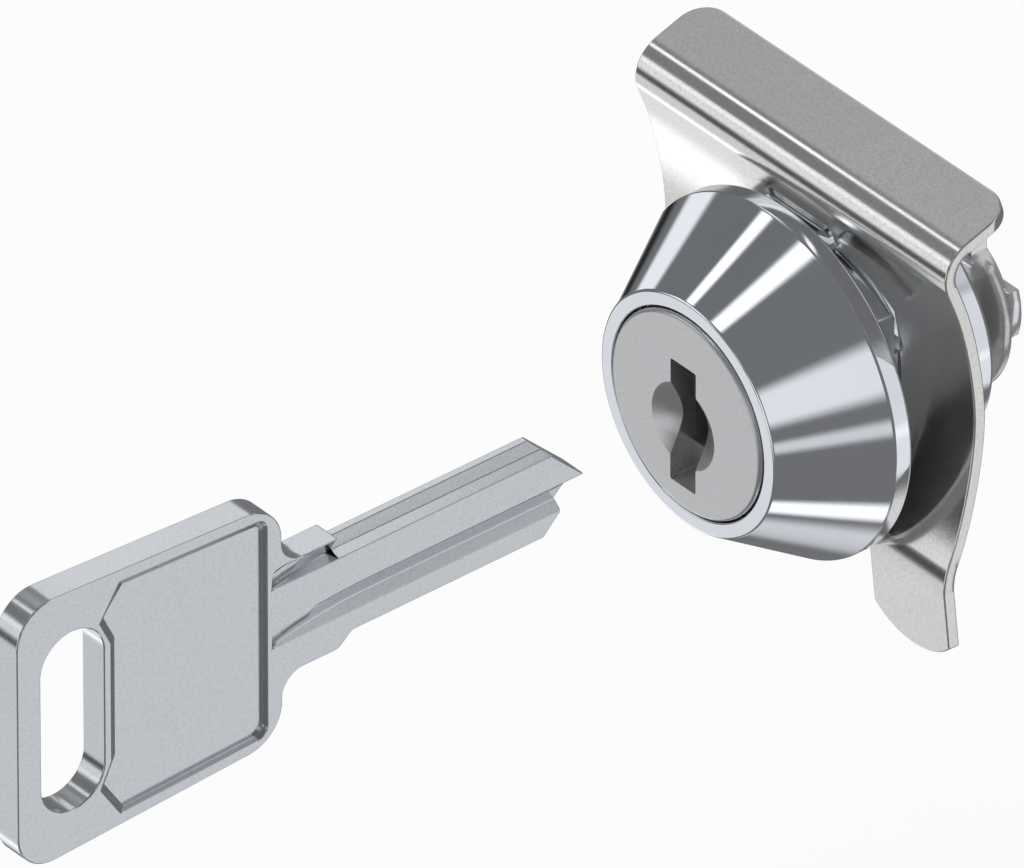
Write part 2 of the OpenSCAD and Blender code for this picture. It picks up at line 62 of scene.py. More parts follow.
# %% Camera
AZIMUTH, ELEVATION = 49.98, 34.91
PIXELS_PER_MM, IMAGE_WIDTH = 14.2, 1024
LENS, SENSOR = 1450.0, 36.0
NEAR, FAR = 0.1, 10.0
AIM = Vector((-10.28, -16.38, -3.80))


def from_angles(azimuth, elevation):
    """The direction that an azimuth and an elevation point out, with azimuth 0 towards -Y and 90
    towards +X.
    """
    a, e = radians(azimuth), radians(elevation)
    return Vector((sin(a) * cos(e), -cos(a) * cos(e), sin(e)))


camera = bpy.data.objects.new("camera", bpy.data.cameras.new("camera"))
bpy.context.scene.collection.objects.link(camera)
bpy.context.scene.camera = camera
camera.data.lens, camera.data.sensor_width = LENS, SENSOR
camera.data.clip_start, camera.data.clip_end = NEAR, FAR
back = from_angles(AZIMUTH, ELEVATION)
distance = IMAGE_WIDTH / PIXELS_PER_MM * LENS / SENSOR
camera.location = (AIM + back * distance) * MM
camera.rotation_euler = (-back).to_track_quat("-Z", "Y").to_euler()
print("camera stands", round(distance), "mm away")

# %% [markdown]
# ## Rounded outlines
# A punched part is a flat outline with rounded corners, and a turned part is one half of
# its section. The arcs could be typed in point by point. A vertex bevel draws an arc from
# one corner and a radius instead. It only needs to know how far back from the corner the
# arc starts, which follows from how far the line turns there.

# %% Rounded outlines
PLACE = {"X": lambda a, b: Vector((0, a, b)), "Y": lambda a, b: Vector((a, 0, b))}
DEGREES_PER_STEP = 5.0


def corner_turn(before, at, after):
    """How far a line turns at a corner, in radians."""
    return (Vector(at[:2]) - Vector(before[:2])).angle(Vector(after[:2]) - Vector(at[:2]))


def round_corners(bm, verts, corners, closed=True, step=DEGREES_PER_STEP):
    """Bevels each vertex by the radius of its corner, which is written (a, b, radius)."""
    last = len(corners) - 1
    for i, (vert, corner) in enumerate(zip(verts, corners)):
        if len(corner) < 3 or corner[2] == 0 or (not closed and i in (0, last)):
            continue
        turn = corner_turn(corners[i - 1], corner, corners[(i + 1) % len(corners)])
        bmesh.ops.bevel(bm, geom=[vert], affect="VERTICES", offset_type="OFFSET",
                        offset=corner[2] * tan(turn / 2), profile=0.5, material=-1,
                        segments=max(2, ceil(degrees(turn) / step)))
    bmesh.ops.remove_doubles(bm, verts=bm.verts, dist=1e-4)


def outline(corners, axis):
    """A face in the plane across an axis, with its corners rounded."""
    bm = bmesh.new()
    verts = [bm.verts.new(PLACE[axis](c[0], c[1])) for c in corners]
    bm.faces.new(verts)
    round_corners(bm, verts, corners)
    return bm


print("a square corner is drawn with", ceil(90 / DEGREES_PER_STEP), "short edges")

# %% [markdown]
# ## Prisms
# Sheet parts, flats and slots are an outline pulled straight through. Extruding the face
# of the outline gives such a body with any number of corners, and a box is the simplest
# of them. An arc that no corner can give, such as a round foot, is written as points.

# %% Prisms
ALONG = {"X": Vector((1, 0, 0)), "Y": Vector((0, 1, 0))}
SQUARE = ((-1, -1), (1, -1), (1, 1), (-1, 1))


def corners_of(made):
    """The vertices among what an operator has made."""
    return [g for g in made["geom"] if isinstance(g, bmesh.types.BMVert)]


def prism(corners, axis, start, end):
    """An outline pulled from start to end along an axis."""
    bm = outline(corners, axis)
    bmesh.ops.translate(bm, vec=ALONG[axis] * start, verts=bm.verts)
    made = bmesh.ops.extrude_face_region(bm, geom=bm.faces[:])
    bmesh.ops.translate(bm, vec=ALONG[axis] * (end - start), verts=corners_of(made))
    bmesh.ops.recalc_face_normals(bm, faces=bm.faces)
    return bm


def box(x0, x1, y0, y1, z0, z1):
    return prism([(x0, z0), (x1, z0), (x1, z1), (x0, z1)], "Y", y0, y1)


def rectangle(a, b, half_a, half_b, rounding):
    """The corners of a rounded rectangle about the point (a, b)."""
    return [(a + s * half_a, b + t * half_b, rounding) for s, t in SQUARE]


def span(side, near, far):
    """The ends of a stretch that lies on one side of the axis, the lower one first."""
    return sorted((side * near, side * far))


def arc(radius, start, end, centre=(0, 0), steps=24):
    """Points of an arc between two angles in degrees."""
    angles = [radians(start + (end - start) * k / steps) for k in range(steps + 1)]
    return [(centre[0] + radius * cos(a), centre[1] + radius * sin(a)) for a in angles]


sample = box(0, 1, 0, 2, 0, 3)
print("a box of 1 by 2 by 3 mm holds", round(sample.calc_volume(), 3), "mm3")
sample.free()

# %% [markdown]
# ## Turned parts
# Head, barrel and plug come off a lathe or out of a round die. Such a form could be piled
# up from cylinders and cones. One closed profile spun about the lock's axis keeps all its
# steps, tapers and rounded edges together, as the drawing for the lathe does.

# %% Turned parts
TURN_STEPS = 192


def turned(corners, steps=TURN_STEPS):
    """A closed profile of (radius, y, rounding) corners, spun about the lock's axis."""
    bm = bmesh.new()
    verts = [bm.verts.new((c[0], c[1], 0)) for c in corners]
    bm.faces.new(verts)
    round_corners(bm, verts, corners)
    bmesh.ops.delete(bm, geom=bm.faces[:], context="FACES_ONLY")
    bmesh.ops.spin(bm, geom=bm.verts[:] + bm.edges[:], cent=(0, 0, 0), axis=(0, 1, 0),
                   angle=2 * pi, steps=steps, use_merge=True)
    bmesh.ops.remove_doubles(bm, verts=bm.verts, dist=1e-4)
    bmesh.ops.dissolve_degenerate(bm, edges=bm.edges, dist=1e-5)
    bmesh.ops.recalc_face_normals(bm, faces=bm.faces)
    return bm


sample = turned([(0, 0), (1, 0), (1, 1), (0, 1)])
print("a disc of radius 1 and height 1 holds", round(sample.calc_volume(), 4), "mm3")
sample.free()

# %% [markdown]
# ## Cuts
# A milling cutter takes away the shape that it sweeps. Blender's exact Boolean does the
# same with two closed bodies, and it also joins bodies that were cast as one. It works on
# objects, so both bodies become objects for a moment, and the result is read back.

# %% Cuts
def as_object(bm, name):
    """Turns a bmesh into an object in the scene, and frees it."""
    mesh = bpy.data.meshes.new(name)
    bm.to_mesh(mesh)
    bm.free()
    made = bpy.data.objects.new(name, mesh)
    bpy.context.scene.collection.objects.link(made)
    return made


def cut(body, tool, operation="DIFFERENCE"):
    """Subtracts, joins or intersects two bodies, and gives the result as a bmesh."""
    kept, other = as_object(body, "kept"), as_object(tool, "other")
    step = kept.modifiers.new("cut", "BOOLEAN")
    step.operation, step.object, step.solver = operation, other, "EXACT"
    mesh = bpy.data.meshes.new_from_object(
        kept.evaluated_get(bpy.context.evaluated_depsgraph_get()))
    for used in (kept, other):
        data = used.data
        bpy.data.objects.remove(used)
        bpy.data.meshes.remove(data)
    result = bmesh.new()
    result.from_mesh(mesh)
    bpy.data.meshes.remove(mesh)
    bmesh.ops.remove_doubles(result, verts=result.verts, dist=1e-4)
    return result


sample = cut(box(0, 2, 0, 2, 0, 2), box(1, 3, -1, 3, -1, 3))
print("half of a box of 8 mm3 is", round(sample.calc_volume(), 3), "mm3")
sample.free()

# %% [markdown]
# ## Rounded and worn edges
# Tumbling, plating and handling round every edge of a metal part a little, and rub it
# brighter than the faces. A Bevel modifier would round the edges too. The operator also
# returns the new faces, so they can carry a mask, worn, that the materials read.

# %% Rounded and worn edges
WORN = "worn"


def soften(bm, width, over=35.0, segments=2, clamp=False):
    """Rounds every edge sharper than an angle, and marks the new faces as worn."""
    bmesh.ops.dissolve_degenerate(bm, edges=bm.edges, dist=1e-4)
    worn = bm.faces.layers.float.new(WORN)
    sharp = [e for e in bm.edges
             if len(e.link_faces) == 2 and e.calc_face_angle(0) > radians(over)]
    rounded = bmesh.ops.bevel(bm, geom=sharp, affect="EDGES", offset=width, offset_type="OFFSET",
                              segments=segments, profile=0.5, material=-1, clamp_overlap=clamp)
    for face in rounded["faces"]:
        face[worn] = 1.0
    print(len(sharp), "edges rounded, which gave", len(rounded["faces"]), "worn faces")
    return bm


# %% [markdown]
# ## Finished pieces
# A modelled body becomes a piece of the lock when it is scaled to metres, shaded smooth
# up to a crease angle, given its metal, and set to ride on the CAD body that carries it.
# Weighted normals keep the large flat faces flat beside their thin rounded edges.

# %% Finished pieces
FINISHES = {}
FLAT_FACE_WEIGHT = 80


def finished(bm, name, body, slot, nodes, crease=48):
    """Makes a named piece that rides on a body and stands for CAD nodes."""
    bmesh.ops.scale(bm, vec=(MM, MM, MM), verts=bm.verts)
    for face in bm.faces:
        face.smooth = True
    made = as_object(bm, name)
    made.data.set_sharp_from_angle(angle=radians(crease))
    made.data.materials.append(FINISHES[slot])
    even = made.modifiers.new("even normals", "WEIGHTED_NORMAL")
    even.keep_sharp, even.weight = True, FLAT_FACE_WEIGHT
    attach(made, body)
    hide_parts(*nodes)
    print(name, "has", len(made.data.polygons), "faces")
    return made


# %% [markdown]
# ## Shader maths
# A mask, a blend or a shift of polish is a short sum. Wired by hand, each one is a web of
# Math nodes. A small class wraps a socket instead, so that plain Python adds the nodes.

# %% Numbers that flow through a node tree
class Number:
    """A number socket that can be used in a Python expression."""
    def __init__(self, finish, socket):
        self.finish, self.socket = finish, socket

    def _maths(self, operation, a, b):
        return self.finish.add("Math", {"operation": operation}, {0: a, 1: b}).number()

    def __add__(self, other):
        return self._maths("ADD", self, other)

    def __sub__(self, other):
        return self._maths("SUBTRACT", self, other)

    def __rsub__(self, other):
        return self._maths("SUBTRACT", other, self)

    def __mul__(self, other):
        return self._maths("MULTIPLY", self, other)

    def __truediv__(self, other):
        return self._maths("DIVIDE", self, other)

    def smooth(self, low, high):
        """0 below low, 1 above high, and a smooth step between them."""
        return self.finish.add(
            "MapRange", {"interpolation_type": "SMOOTHSTEP"},
            {"Value": self, "From Min": low, "From Max": high}).number("Result")

    __radd__, __rmul__ = __add__, __mul__


# %% [markdown]
# ## Node trees
# Every other node comes from one method: its type, its settings, and then a value or a
# link for each socket. Colours are blended by a Mix node, because a Math node would turn
# them grey.

# %% Node trees
class Added:
    """A node that was added, with its outputs by name."""
    def __init__(self, finish, node):
        self.finish, self.node = finish, node

    def number(self, name=0):
        return Number(self.finish, self.node.outputs[name])

    def out(self, name=0):
        return self.node.outputs[name]


class Finish:
    """A node tree that is being written."""
    def __init__(self, tree):
        self.tree = tree
        tree.nodes.clear()

    def add(self, kind, settings=None, values=None):
        """Adds a node, sets it, and fills or links its sockets."""
        node = self.tree.nodes.new("ShaderNode" + kind)
        for key, value in (settings or {}).items():
            setattr(node, key, value)
        for key, value in (values or {}).items():
            socket = node.inputs[key]
            if isinstance(value, Number):
                value = value.socket
            if isinstance(value, bpy.types.NodeSocket):
                self.tree.links.new(value, socket)
            elif isinstance(value, (tuple, list)) and socket.type == "RGBA":
                socket.default_value = (*value, 1)
            else:
                socket.default_value = value
        return Added(self, node)

    def mix(self, share, first, second):
        """Blends two colours by a number."""
        return self.add("Mix", {"data_type": "RGBA"}, {0: share, 6: first, 7: second}).out(2)


# %% [markdown]
# ## A metal
# Nearly all parts are bare or plated metal, so they differ in tint, in polish and in
# grain. One function makes them all. A slow cloud shifts tint and polish, as handling
# does. A fine grain breaks up the surface, as blasting, rolling or plating does, and the
# worn edges are more polished than the faces between them.

# %% A metal
RUBBED_SHARE = 0.65
RELIEF_HEIGHT = 0.00002
CLOUD, CLOUD_EDGES = {"Detail": 3.0, "Roughness": 0.55}, (0.3, 0.7)
GRAIN, SPECKLE_EDGES = {"Detail": 2.0, "Roughness": 0.6}, (0.28, 0.62)


def metal(name, colour, dark, rough, cloud=140.0, grain=5200.0, speckle=0.0, relief=0.0,
          metallic=1.0):
    """colour and dark are the tints that the cloud blends; rough is (low, high)."""
    material = bpy.data.materials.new(name)
    material.use_nodes = True
    f = Finish(material.node_tree)
    place = f.add("TexCoord").out("Object")
    clouds = f.add("TexNoise", {}, {"Vector": place, "Scale": cloud, **CLOUD}).number("Fac")
    slow = clouds.smooth(*CLOUD_EDGES)
    fine = f.add("TexNoise", {}, {"Vector": place, "Scale": grain, **GRAIN}).number("Fac")
    tint = f.mix(slow, dark, colour)
    if speckle:
        darker = tuple(c * (1 - speckle) for c in dark)
        tint = f.mix(fine.smooth(*SPECKLE_EDGES), darker, tint)
    half_spread = (rough[1] - rough[0]) * 0.5
    roughness = slow * half_spread + fine * half_spread + rough[0]
    rubbed = f.add("Attribute", {"attribute_name": WORN}).number("Fac")
    values = {"Base Color": tint, "Metallic": metallic,
              "Roughness": roughness * (1 - rubbed * RUBBED_SHARE)}
    if relief:
        values["Normal"] = f.add("Bump", {}, {"Height": fine, "Strength": relief,
                                              "Distance": RELIEF_HEIGHT}).out()
    shader = f.add("BsdfPrincipled", {}, values).out()
    f.add("OutputMaterial", {}, {"Surface": shader})
    FINISHES[name] = material


# %% [markdown]
# ## The nine finishes
# The head is bright chrome, the plug matt grey, the key satin nickel and the clip rolled
# spring steel. The parts at the rear are stamped steel and cast zinc. A metal that isn't
# quite metallic keeps some of its own tint in the shade, where a pure one would only
# mirror the dark room. CAD nodes that stay visible get their finish here too.

# %% The nine finishes
metal("bright_chrome", (0.90, 0.92, 0.96), (0.86, 0.88, 0.93), (0.03, 0.09),
      cloud=90.0, grain=2600.0)
metal("plug_grey", (0.70, 0.70, 0.705), (0.67, 0.67, 0.675), (0.22, 0.32),
      grain=7000.0, speckle=0.06, relief=0.15, metallic=0.85)
metal("clip_steel", (0.86, 0.85, 0.82), (0.82, 0.81, 0.78), (0.09, 0.18),
      grain=5200.0, speckle=0.10, relief=0.12, metallic=0.92)
metal("key_nickel", (0.73, 0.75, 0.78), (0.70, 0.72, 0.75), (0.14, 0.22),
      grain=5600.0, speckle=0.08, relief=0.14, metallic=0.92)
metal("stamped_steel", (0.80, 0.79, 0.77), (0.74, 0.73, 0.71), (0.14, 0.24),
      grain=4200.0, speckle=0.10, relief=0.15, metallic=0.75)
metal("light_zinc", (0.93, 0.93, 0.95), (0.90, 0.90, 0.92), (0.08, 0.15),
      grain=5200.0, speckle=0.04, relief=0.08, metallic=0.75)
metal("spring_wire", (0.70, 0.70, 0.68), (0.62, 0.62, 0.60), (0.22, 0.32), speckle=0.05)
metal("wafer_brass", (0.80, 0.64, 0.34), (0.72, 0.56, 0.28), (0.25, 0.36),
      speckle=0.08, relief=0.1)
metal("seal_rubber", (0.035, 0.035, 0.036), (0.025, 0.025, 0.026), (0.55, 0.7),
      speckle=0.3, relief=0.2, metallic=0.0)
for part in frame["record"]["subparts"]:
    frame["nodes"][part["node"]].data.materials[0] = FINISHES[part["material_slot"]]
print("finishes:", ", ".join(FINISHES))

# %% [markdown]
# ## Head and barrel
# The real housing is one zinc casting, polished and chromed. Its round forms are a
# profile spun about the axis. The flats that the clip grips are then milled off, and the
# lug that stops it from turning in the panel is joined on.

# %% Housing
HEAD_R, RIM_W, NOSE_Y, NOSE_R = 14.0, 1.55, -8.9, 9.4
FACE_GAP_R, FLANGE_END, BORE_R = 8.25, -7.4, 6.65
COLLAR_R, COLLAR_END, FLAT_X, SHOULDER_Y = 11.8, 2.8, 8.7, 4.3
RELIEF, RELIEF_END, COLLAR_LEAD_END = 0.6, 0.4, 1.3
LUG_X, LUG_TOP, LUG_ROOT, LUG_SUNK, LEAD_IN = 2.95, 12.95, 8.0, 0.5, 1.1
BARREL_R, BARREL_END, STOP_R, STOP_FLOOR = 9.8, 11.2, 8.55, 10.1
PAST_HEAD = 20

housing = turned([
    (FACE_GAP_R, NOSE_Y, 0.12), (NOSE_R, NOSE_Y, 0.28), (HEAD_R, -RIM_W, 0.45),
    (HEAD_R, 0, 0.3), (COLLAR_R - RELIEF, 0, 0), (COLLAR_R - RELIEF, RELIEF_END, 0),
    (COLLAR_R, COLLAR_LEAD_END, 0.4), (COLLAR_R, COLLAR_END, 0.35),
    (BARREL_R, COLLAR_END, 0.2), (BARREL_R, BARREL_END, 0.45), (STOP_R, BARREL_END, 0.12),
    (STOP_R, STOP_FLOOR, 0), (BORE_R, STOP_FLOOR, 0.1), (BORE_R, FLANGE_END, 0.1),
    (FACE_GAP_R, FLANGE_END, 0)])
for side in (-1, 1):
    housing = cut(housing, box(*span(side, FLAT_X, PAST_HEAD), 0, SHOULDER_Y,
                               -PAST_HEAD, PAST_HEAD))
lug = prism([(-LUG_SUNK, LUG_ROOT), (COLLAR_END, LUG_ROOT), (COLLAR_END, LUG_TOP - LEAD_IN, 0.2),
             (COLLAR_END - LEAD_IN, LUG_TOP, 0.2), (-LUG_SUNK, LUG_TOP)], "X", -LUG_X, LUG_X)
housing = cut(housing, lug, "UNION")
print("head, collar and barrel hold", round(housing.calc_volume()), "mm3 of metal")

# %% [markdown]
# ## Room for the wafers and the stop tab
# Without the right key the wafers stick out of the plug into channels in the barrel. The
# channels run out of its rear end, as a die has to leave them. A gap in the rear ring
# gives the stop washer's tab its quarter turn. Both are cut by plain prisms.

# %% Room for the wafers and the stop tab
CHANNEL_X, CHANNEL_R, CHANNEL_Y = 3.15, 7.4, -5.1
GAP_START, GAP_END, GAP_REACH, PAST_BARREL = 74, 196, 16, 12.5
for half_x, half_z in ((CHANNEL_X, CHANNEL_R), (CHANNEL_R, CHANNEL_X)):
    housing = cut(housing, box(-half_x, half_x, CHANNEL_Y, PAST_BARREL, -half_z, half_z))
gap = prism([(0, 0)] + arc(GAP_REACH, GAP_START, GAP_END), "Y", STOP_FLOOR, PAST_BARREL)
housing = cut(housing, gap)
soften(housing, 0.09)
finished(housing, "lock_housing", "housing", "bright_chrome", ["housing"])

# %% [markdown]
# ## Plug
# The plug is a turned part too, with a groove for its seal and a tail with two flats for
# the driver. Its face carries the keyway behind a wide mouth. The keyway is the blade's
# own outline, grown all round by the clearance, so that key and plug always fit.

# %% Plug
KEY_X, KEY_FIT, KEY_HALF = -0.25, 0.16, 1.2
FACE_Y, PLUG_R, FLANGE_R, TAIL_R, TAIL_X, TAIL_END = -9.1, 6.6, 8.1, 2.9, 2.4, 15.0
FLANGE_GAP, SEAL_Y0, SEAL_Y1, SEAL_R = 0.05, -6.75, -5.65, 5.65
SCREW_R, SCREW_TIP, HOLE_DEEPER, KEYWAY_END = 1.5, 10.4, 0.2, 9.5
WEB, LEDGE_Z, LEDGE_RISE, BLADE_UP, BLADE_DOWN = 0.7, 2.85, 0.1, 3.65, 3.78
GROOVE_TOP, GROOVE_LOW, APEX_X, APEX_Z, APEX_GROWTH = 0.05, -2.15, 0.33, -1.55, 1.5
PAST_PLUG = 8


def blade_outline(grown):
    """The blade seen from its tip, grown all round."""
    h, g = KEY_HALF, grown
    points = [(-h - g, BLADE_UP + g), (-h + WEB + g, BLADE_UP + g), (g, LEDGE_Z + LEDGE_RISE + g),
              (h + g, LEDGE_Z + g), (h + g, GROOVE_TOP - g), (APEX_X + APEX_GROWTH * g, APEX_Z),
              (h + g, GROOVE_LOW + g), (h + g, -BLADE_DOWN - g), (-h - g, -BLADE_DOWN - g)]
    return [(KEY_X + x, z) for x, z in points]


plug = turned([
    (0, FACE_Y), (FLANGE_R, FACE_Y, 0.32), (FLANGE_R, FLANGE_END - FLANGE_GAP, 0.1),
    (PLUG_R, FLANGE_END - FLANGE_GAP), (PLUG_R, SEAL_Y0), (SEAL_R, SEAL_Y0), (SEAL_R, SEAL_Y1),
    (PLUG_R, SEAL_Y1), (PLUG_R, STOP_FLOOR), (TAIL_R, STOP_FLOOR), (TAIL_R, TAIL_END, 0.2),
    (SCREW_R, TAIL_END), (SCREW_R, SCREW_TIP - HOLE_DEEPER), (0, SCREW_TIP - HOLE_DEEPER)])
for side in (-1, 1):
    plug = cut(plug, box(*span(side, TAIL_X, PAST_PLUG), STOP_FLOOR, TAIL_END + 1,
                         -PAST_PLUG, PAST_PLUG))
plug = cut(plug, prism(blade_outline(KEY_FIT), "Y", FACE_Y - 1, KEYWAY_END))
print("plug with its keyway holds", round(plug.calc_volume()), "mm3 of metal")

# %% [markdown]
# ## The plug's face
# A wide mouth and a round countersink lead the key in. The countersink is a cone that
# starts in front of the face, because a cutter that ends exactly on a face leaves a
# ragged edge. It and the mouth are centred on the blade, which sits beside the axis.

# %% The plug's face
MOUTH_Z, MOUTH_H, MOUTH_W, MOUTH_DEPTH = -1.05, 10.3, 2.75, 2.2
DIMPLE_R, DIMPLE_DEPTH, OVERSIZE, DIMPLE_STEPS = 3.4, 1.963, 1.5, 96

mouth = rectangle(KEY_X, MOUTH_Z, MOUTH_W / 2, MOUTH_H / 2, 0.15)
plug = cut(plug, prism(mouth, "Y", FACE_Y - 1, FACE_Y + MOUTH_DEPTH))
dimple = bmesh.new()
bmesh.ops.create_cone(dimple, cap_ends=True, segments=DIMPLE_STEPS, radius2=0,
                      radius1=DIMPLE_R * OVERSIZE, depth=DIMPLE_DEPTH * OVERSIZE)
bmesh.ops.rotate(dimple, cent=(0, 0, 0), matrix=Matrix.Rotation(-pi / 2, 3, "X"),
                 verts=dimple.verts)
bmesh.ops.translate(dimple, verts=dimple.verts,
                    vec=(KEY_X, FACE_Y + DIMPLE_DEPTH * (1 - OVERSIZE / 2), MOUTH_Z))
plug = cut(plug, dimple)
print("mouth and countersink leave", round(plug.calc_volume()), "mm3")

# %% [markdown]
# ## Slots for the wafers
# Six slots run across the plug, one for each wafer. Beside each slot is a pocket for the
# wafer's spring, on alternate sides, as on real plugs, where two springs side by side
# would leave no wall. One loop cuts them all. The rounding of the edges is clamped to
# what the shortest of them allow, because an unclamped one folds over there and reaches
# into the keyway.

# %% Slots for the wafers
WAFERS, WAFER_Y, WAFER_PITCH = 6, -4.3, 2.1
WAFER_SLOT_X, WAFER_SLOT_HALF = 3.05, 0.55
SPRING_POCKET_X, SPRING_POCKET_Z, POCKET_OVERLAP = 4.6, 3.8, 0.1
for i in range(WAFERS):
    y = WAFER_Y + WAFER_PITCH * i
    ends = (y - WAFER_SLOT_HALF, y + WAFER_SLOT_HALF)
    plug = cut(plug, box(-WAFER_SLOT_X, WAFER_SLOT_X, *ends, -PAST_PLUG, PAST_PLUG))
    flip = 1 if i % 2 == 0 else -1
    plug = cut(plug, box(*span(flip, WAFER_SLOT_X - POCKET_OVERLAP, SPRING_POCKET_X), *ends,
                         *span(flip, -SPRING_POCKET_Z, PAST_PLUG)))
soften(plug, 0.06, over=24, clamp=True)
finished(plug, "lock_plug", "plug", "plug_grey", ["plug"], crease=20)

# %% [markdown]
# ## Fixing clip, the bent strip
# The real clip is a strip of spring steel, bent and then slid over the flats of the
# collar. It could be a block with rounded edges, but a sheet has one thickness all the
# way. So the strip is drawn as one line with a bevel at each bend, pulled to its width,
# and thickened. A bend is given as on a bending plan: straight length, radius, angle.

# %% Bent strip
SHEET, CLIP_HALF, FORK_X = 1.0, 16.85, 8.75
BOW_Y, BOW_Z, BOW_R = 3.25, 2.8, 28.3
LEAN_UP, LEAN_DOWN, TAB_TILT, FOOT_TILT = 21.6, 21.8, 18.2, 5.7
STRAIGHT_UP, STRAIGHT_DOWN, TAB_BEND_R, FOOT_BEND_R = 1.72, 1.0, 2.77, 4.98
TAB_LEN, FOOT_LEN, BEND_STEP = 4.6, 9.0, 3.0


def strip_corners(bends, mirror):
    """Where the straights of a bent strip would meet, from the hollow of the bow outwards."""
    heading, at, corners = -90.0, Vector((0, 0)), []
    for straight, radius, angle in bends:
        reach = radius * tan(radians(abs(angle) / 2))
        corner = at + (straight + reach) * Vector((cos(radians(heading)), sin(radians(heading))))
        heading += angle
        at = corner + reach * Vector((cos(radians(heading)), sin(radians(heading))))
        corners.append((BOW_Y + corner.x, BOW_Z + mirror * corner.y, radius))
    return corners


up = strip_corners([(0, BOW_R, -LEAN_UP), (STRAIGHT_UP, TAB_BEND_R, 90 + LEAN_UP - TAB_TILT),
                    (TAB_LEN, 0, 0)], -1)
down = strip_corners([(0, BOW_R, -LEAN_DOWN), (STRAIGHT_DOWN, FOOT_BEND_R, LEAN_DOWN + FOOT_TILT),
                      (FOOT_LEN, 0, 0)], 1)
line = up[::-1] + down
clip = bmesh.new()
verts = [clip.verts.new((-CLIP_HALF, y, z)) for y, z, _ in line]
for a, b in zip(verts, verts[1:]):
    clip.edges.new((a, b))
round_corners(clip, verts, line, closed=False, step=BEND_STEP)
made = bmesh.ops.extrude_edge_only(clip, edges=clip.edges[:])
bmesh.ops.translate(clip, vec=(2 * CLIP_HALF, 0, 0), verts=corners_of(made))
print("the strip is bent in", len(clip.faces), "flat steps")

# %% [markdown]
# ## The strip's thickness
# The tab's two outer corners are rounded while the strip is still thin, so that two
# vertices are enough. Solidify then gives the sheet its thickness on the side away from
# the head, and it needs all faces to point the same way first.

# %% Strip thickness
TAB_CORNER, CORNER_STEPS = 2.3, 12

tab_edge = max(v.co.y for v in clip.verts)
tab_end = [v for v in clip.verts if v.co.y > tab_edge - 1e-3]
bmesh.ops.bevel(clip, geom=tab_end, affect="VERTICES", offset=TAB_CORNER, profile=0.5,
                offset_type="OFFSET", segments=CORNER_STEPS, material=-1)
bmesh.ops.recalc_face_normals(clip, faces=clip.faces)
hollow = Vector((0, BOW_Y, BOW_Z))
middle = min(clip.faces, key=lambda f: (f.calc_center_median() - hollow).length)
if middle.normal.y > 0:
    bmesh.ops.reverse_faces(clip, faces=clip.faces)
bmesh.ops.solidify(clip, geom=clip.faces[:], thickness=SHEET)
bmesh.ops.recalc_face_normals(clip, faces=clip.faces)
print("the strip holds", round(clip.calc_volume()), "mm3 of steel")

# %% [markdown]
# ## The fork
# A press tool cuts the strip to a fork before it is bent: a slot that slides over the
# flats, a ring that clears the collar, a notch for the lug and two round feet. Here the
# bent strip is cut instead, by one upright prism that keeps what lies inside it, so that
# every size of the fork is the one seen from the front.

# %% Fork
NOTCH_X, NOTCH_TOP, RING_R = 3.25, 13.25, 12.1
FOOT_R, FOOT_Z = 5.8, -17.3
PAST_TAB, STRIP_START, STRIP_END = 40, -20, 30


def angle_on(radius, x):
    """Where a circle stands over x, in degrees."""
    return degrees(atan2(sqrt(radius ** 2 - x ** 2), x))


leg_mid, leg_half = (CLIP_HALF + FORK_X) / 2, (CLIP_HALF - FORK_X) / 2
foot_turn = degrees(asin(leg_half / FOOT_R))
foot = arc(FOOT_R, 270 - foot_turn, 270 + foot_turn, (leg_mid, FOOT_Z + FOOT_R))
ring = arc(RING_R, angle_on(RING_R, FORK_X), angle_on(RING_R, NOTCH_X), steps=16)
right = [(NOTCH_X, NOTCH_TOP, 0.3)] + ring[::-1] + foot + [(CLIP_HALF, PAST_TAB)]
left = [(-c[0],) + tuple(c[1:]) for c in right[::-1]]
clip = cut(clip, prism(left + right, "Y", STRIP_START, STRIP_END), "INTERSECT")
soften(clip, 0.13, over=30, segments=3)
finished(clip, "spring_clip", "housing", "clip_steel", ["fixing_clip"])

# %% [markdown]
# ## Key blank
# A key blank is punched from sheet: bow, neck and blade share one flat outline. It is one
# face with a rounding at each corner, pulled to the sheet's thickness. The slot for the
# key ring is punched through it. Its ends are almost full rounds, because a full round
# would leave an edge without length between its two arcs.

# %% Key blank
TIP_Y, NECK_Y, BOW_Y1, BOW_Y0 = -19.25, -41.6, -46.74, -70.69
BOW_H0, BOW_TAPER, BOW_CORNER, NECK_FILLET = 11.3, 2.94, 3.2, 1.9
NECK_UP, NECK_DOWN, NECK_SLANT, NECK_ROUND = 4.62, 4.83, 1.2, 0.8
TIP_Z, TIP_SLANT, TIP_FLAT, TIP_BACK, TIP_HEEL = 0.15, 0.1, 1.85, 2, 3.63
RING_Y, RING_HALF_W, RING_HALF_H, NEARLY_ROUND = BOW_Y0 + 5, 2.85, 7.55, 0.999
PAST_KEY = 5

